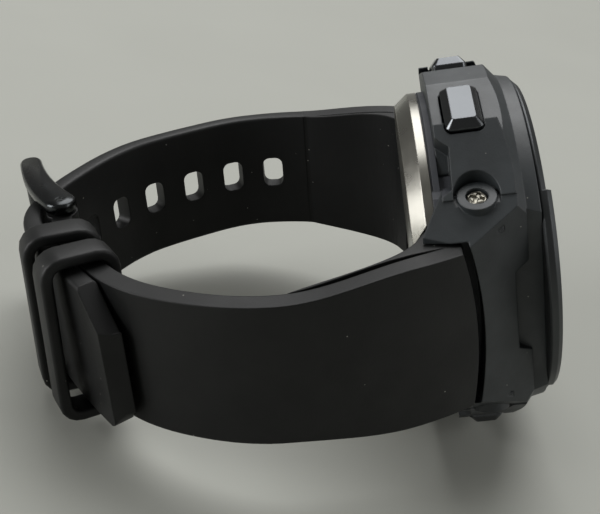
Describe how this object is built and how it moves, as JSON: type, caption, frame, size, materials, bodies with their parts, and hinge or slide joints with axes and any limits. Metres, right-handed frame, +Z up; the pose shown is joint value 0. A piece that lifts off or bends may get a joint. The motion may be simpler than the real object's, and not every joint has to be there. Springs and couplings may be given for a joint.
{
  "type": "digital watch",
  "caption": "Buckled digital sports watch with a round moulded case, push buttons at the sides and a resin strap with a pin buckle and keepers.",
  "frame": {"origin": "centre of the case back's flat outer face", "axes": "+Z up as the buckled watch stands on its 9 o'clock side, +Y from 12 toward 6 o'clock, +X level toward the dial side"},
  "size_m": [0.0841, 0.0643, 0.0524],
  "materials": {
    "resin": "matt moulded resin",
    "case_resin": "grained",
    "steel": "satin",
    "dark_nickel": "dark plated, satin face",
    "gunmetal": "satin black plating",
    "ring_grey": "fine metallic grey",
    "glass": "clear",
    "rubber": "matt",
    "white_plastic": "matt",
    "display": "grey-green",
    "surround_black": "satin",
    "board_green": "solder mask",
    "brass": "plain"
  },
  "bodies": {
    "case": {"case_body": "case_resin", "case_back": "steel", "back_screws": "steel", "back_gasket": "rubber", "bezel": "resin", "bezel_screws": "steel", "front_ring": "ring_grey", "glass": "glass", "glass_gasket": "rubber", "dial_surround": "surround_black", "lcd_panel": "display", "backlight_panel": "white_plastic", "zebra_connectors": "rubber", "module_frame": "white_plastic", "circuit_board": "board_green", "controller_chip": "surround_black", "quartz_crystal": "steel", "battery": "steel", "battery_clip": "steel", "buzzer_disc": "brass", "buzzer_spring": "steel", "button_seals": "rubber", "lug_pins": "steel", "hole_strap": "resin", "buckle_strap": "resin", "buckle_pin": "steel", "spring_2": "steel", "spring_4": "steel", "spring_8": "steel", "spring_10": "steel"},
    "button_2_body": {"button_2": "dark_nickel", "clip_2": "steel"},
    "button_4_body": {"button_4": "dark_nickel", "clip_4": "steel"},
    "button_8_body": {"button_8": "dark_nickel", "clip_8": "steel"},
    "button_10_body": {"button_10": "dark_nickel", "clip_10": "steel"},
    "buckle": {"buckle_frame": "gunmetal"},
    "tongue": {"buckle_tongue": "gunmetal"},
    "tip_keeper_body": {"tip_keeper": "resin"},
    "pin_keeper_body": {"pin_keeper": "resin"}
  },
  "joints": [
    {"name": "button_2_press", "type": "slide", "parent": "case", "child": "button_2_body", "axis": [0.2785, 0.342, -0.8975], "range_m": [0, 0.001], "stiffness_N_per_m": 500, "springref_m": -0.003, "deforming": ["spring_2"]},
    {"name": "button_4_press", "type": "slide", "parent": "case", "child": "button_4_body", "axis": [0.2785, -0.342, -0.8975], "range_m": [0, 0.001], "stiffness_N_per_m": 500, "springref_m": -0.003, "deforming": ["spring_4"]},
    {"name": "button_8_press", "type": "slide", "parent": "case", "child": "button_8_body", "axis": [-0.2785, -0.342, 0.8975], "range_m": [0, 0.001], "stiffness_N_per_m": 500, "springref_m": -0.003, "deforming": ["spring_8"]},
    {"name": "button_10_press", "type": "slide", "parent": "case", "child": "button_10_body", "axis": [-0.2785, 0.342, 0.8975], "range_m": [0, 0.001], "stiffness_N_per_m": 500, "springref_m": -0.003, "deforming": ["spring_10"]},
    {"name": "buckle_turn", "type": "hinge", "parent": "case", "child": "buckle", "pos_m": [-0.04854, -0.004, -0.01023], "axis": [-0.2155, 0, 0.9765], "range_deg": [-6, 0]},
    {"name": "tongue_turn", "type": "hinge", "parent": "case", "child": "tongue", "pos_m": [-0.04854, -0.004, -0.01023], "axis": [-0.2155, 0, 0.9765], "range_deg": [0, 3]},
    {"name": "tip_keeper_slide", "type": "slide", "parent": "case", "child": "tip_keeper_body", "axis": [-0.5029, 0.8572, -0.111], "range_m": [-0.0005, 0.0005]},
    {"name": "pin_keeper_slide", "type": "slide", "parent": "case", "child": "pin_keeper_body", "axis": [-0.3972, 0.9135, -0.0876], "range_m": [-0.0005, 0.0005]}
  ]
}
